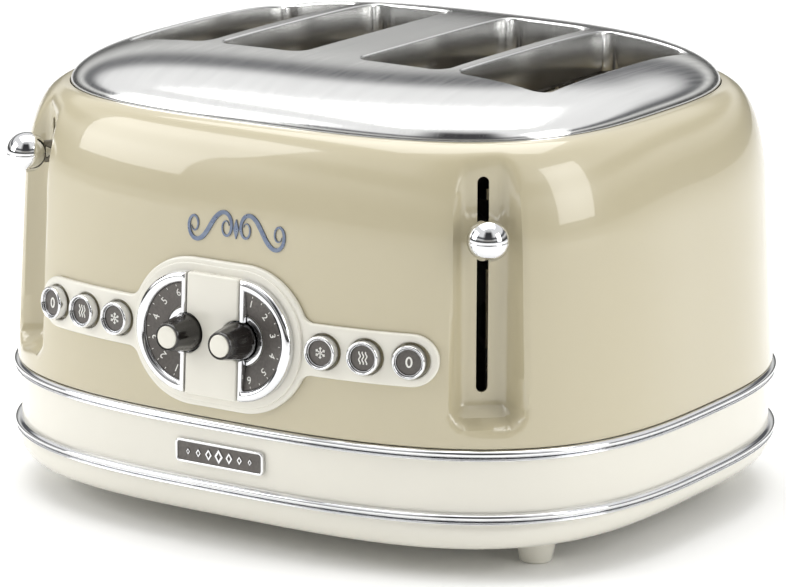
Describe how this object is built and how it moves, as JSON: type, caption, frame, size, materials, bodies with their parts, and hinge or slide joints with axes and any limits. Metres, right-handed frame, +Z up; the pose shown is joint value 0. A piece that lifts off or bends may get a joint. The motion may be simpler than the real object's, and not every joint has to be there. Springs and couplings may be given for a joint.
{
  "type": "pop-up toaster",
  "caption": "Retro pop-up toaster with bread slots in a brushed steel top, two corner levers, twin browning dials, push buttons, chrome trim rings and a rear crumb tray.",
  "frame": {"origin": "on the surface that the feet stand on, under the middle of the whole toaster", "axes": "+X to the toaster's right as the user faces its dials, +Y from the dials to the back, +Z up"},
  "size_m": [0.33, 0.3016, 0.2046],
  "materials": {
    "beige_enamel": "gloss",
    "cream_plastic": "gloss",
    "cover_steel": "brushed",
    "chrome": "polished",
    "dial_grey": "satin",
    "black_plastic": "gloss",
    "galvanised_steel": "satin",
    "bright_wire": "satin",
    "mica": "matte",
    "circuit_board": "satin"
  },
  "bodies": {
    "housing": {"badge_plate": "chrome", "base_housing": "cream_plastic", "body_shell": "beige_enamel", "carriage_spring_left": "bright_wire", "carriage_spring_right": "bright_wire", "control_board": "circuit_board", "control_panel": "cream_plastic", "cord_gland": "black_plastic", "dial_bezel_left": "chrome", "dial_bezel_right": "chrome", "dial_scale_left": "dial_grey", "dial_scale_right": "dial_grey", "foot_front_left": "cream_plastic", "foot_front_right": "cream_plastic", "foot_rear_left": "cream_plastic", "foot_rear_right": "cream_plastic", "guide_rod_left": "bright_wire", "guide_rod_right": "bright_wire", "heater_board_inner_left": "mica", "heater_board_inner_right": "mica", "heater_board_middle_left": "mica", "heater_board_middle_right": "mica", "heater_board_outer_left": "mica", "heater_board_outer_right": "mica", "latch_magnet_left": "black_plastic", "latch_magnet_right": "black_plastic", "toast_chamber_left": "galvanised_steel", "toast_chamber_right": "galvanised_steel", "top_cover": "cover_steel", "trim_ring_lower": "chrome", "trim_ring_upper": "chrome"},
    "lever_left": {"lever_knob_left": "chrome", "lever_arm_left": "galvanised_steel", "carriage_left": "galvanised_steel"},
    "guide_plus_left": {"bread_guide_plus_left": "bright_wire"},
    "guide_minus_left": {"bread_guide_minus_left": "bright_wire"},
    "dial_left": {"dial_knob_left": "black_plastic", "knob_cap_left": "cream_plastic", "pointer_disc_left": "chrome"},
    "button_defrost_left": {"button_ring_defrost_left": "chrome", "button_face_defrost_left": "dial_grey"},
    "button_reheat_left": {"button_ring_reheat_left": "chrome", "button_face_reheat_left": "dial_grey"},
    "button_cancel_left": {"button_ring_cancel_left": "chrome", "button_face_cancel_left": "dial_grey"},
    "lever_right": {"lever_knob_right": "chrome", "lever_arm_right": "galvanised_steel", "carriage_right": "galvanised_steel"},
    "guide_plus_right": {"bread_guide_plus_right": "bright_wire"},
    "guide_minus_right": {"bread_guide_minus_right": "bright_wire"},
    "dial_right": {"dial_knob_right": "black_plastic", "knob_cap_right": "cream_plastic", "pointer_disc_right": "chrome"},
    "button_defrost_right": {"button_ring_defrost_right": "chrome", "button_face_defrost_right": "dial_grey"},
    "button_reheat_right": {"button_ring_reheat_right": "chrome", "button_face_reheat_right": "dial_grey"},
    "button_cancel_right": {"button_ring_cancel_right": "chrome", "button_face_cancel_right": "dial_grey"},
    "crumb_tray": {"crumb_tray": "galvanised_steel"}
  },
  "joints": [
    {"name": "lever_left_slide", "type": "slide", "parent": "housing", "child": "lever_left", "axis": [0, 0, 1], "range_m": [-0.0712, 0.009], "stiffness_N_per_m": 150, "springref_m": 0.0095, "deforming": ["carriage_spring_left"]},
    {"name": "guide_plus_left_slide", "type": "slide", "parent": "housing", "child": "guide_plus_left", "axis": [1, 0, 0], "range_m": [-0.00121, 0.00924]},
    {"name": "guide_minus_left_slide", "type": "slide", "parent": "housing", "child": "guide_minus_left", "axis": [1, 0, 0], "range_m": [-0.00924, 0.00121]},
    {"name": "dial_left_turn", "type": "hinge", "parent": "housing", "child": "dial_left", "pos_m": [-0.0136, -0.13309, 0.09617], "axis": [0, -0.9986, 0.0525], "range_deg": [-75, 75]},
    {"name": "button_defrost_left_press", "type": "slide", "parent": "housing", "child": "button_defrost_left", "axis": [0.0951, 0.9942, -0.0509], "range_m": [0, 0.0018], "stiffness_N_per_m": 500},
    {"name": "button_reheat_left_press", "type": "slide", "parent": "housing", "child": "button_reheat_left", "axis": [0.1814, 0.9821, -0.0498], "range_m": [0, 0.0018], "stiffness_N_per_m": 500},
    {"name": "button_cancel_left_press", "type": "slide", "parent": "housing", "child": "button_cancel_left", "axis": [0.3031, 0.9517, -0.049], "range_m": [0, 0.0018], "stiffness_N_per_m": 500},
    {"name": "lever_right_slide", "type": "slide", "parent": "housing", "child": "lever_right", "axis": [0, 0, 1], "range_m": [-0.062, 0.0182], "stiffness_N_per_m": 150, "springref_m": 0.0095, "deforming": ["carriage_spring_right"]},
    {"name": "guide_plus_right_slide", "type": "slide", "parent": "housing", "child": "guide_plus_right", "axis": [1, 0, 0], "range_m": [-0.0024, 0.00805]},
    {"name": "guide_minus_right_slide", "type": "slide", "parent": "housing", "child": "guide_minus_right", "axis": [1, 0, 0], "range_m": [-0.00805, 0.0024]},
    {"name": "dial_right_turn", "type": "hinge", "parent": "housing", "child": "dial_right", "pos_m": [0.0136, -0.13309, 0.09617], "axis": [0, -0.9986, 0.0525], "range_deg": [-75, 75]},
    {"name": "button_defrost_right_press", "type": "slide", "parent": "housing", "child": "button_defrost_right", "axis": [-0.0951, 0.9942, -0.0509], "range_m": [0, 0.0018], "stiffness_N_per_m": 500},
    {"name": "button_reheat_right_press", "type": "slide", "parent": "housing", "child": "button_reheat_right", "axis": [-0.1814, 0.9821, -0.0498], "range_m": [0, 0.0018], "stiffness_N_per_m": 500},
    {"name": "button_cancel_right_press", "type": "slide", "parent": "housing", "child": "button_cancel_right", "axis": [-0.3031, 0.9517, -0.049], "range_m": [0, 0.0018], "stiffness_N_per_m": 500},
    {"name": "crumb_tray_slide", "type": "slide", "parent": "housing", "child": "crumb_tray", "axis": [0, 1, 0], "range_m": [0, 0.2]}
  ],
  "couplings": [
    {"joint": "guide_plus_left_slide", "follows": "lever_left_slide", "ratio": -0.12903},
    {"joint": "guide_minus_left_slide", "follows": "lever_left_slide", "ratio": 0.12903},
    {"joint": "guide_plus_right_slide", "follows": "lever_right_slide", "ratio": -0.12903},
    {"joint": "guide_minus_right_slide", "follows": "lever_right_slide", "ratio": 0.12903}
  ]
}
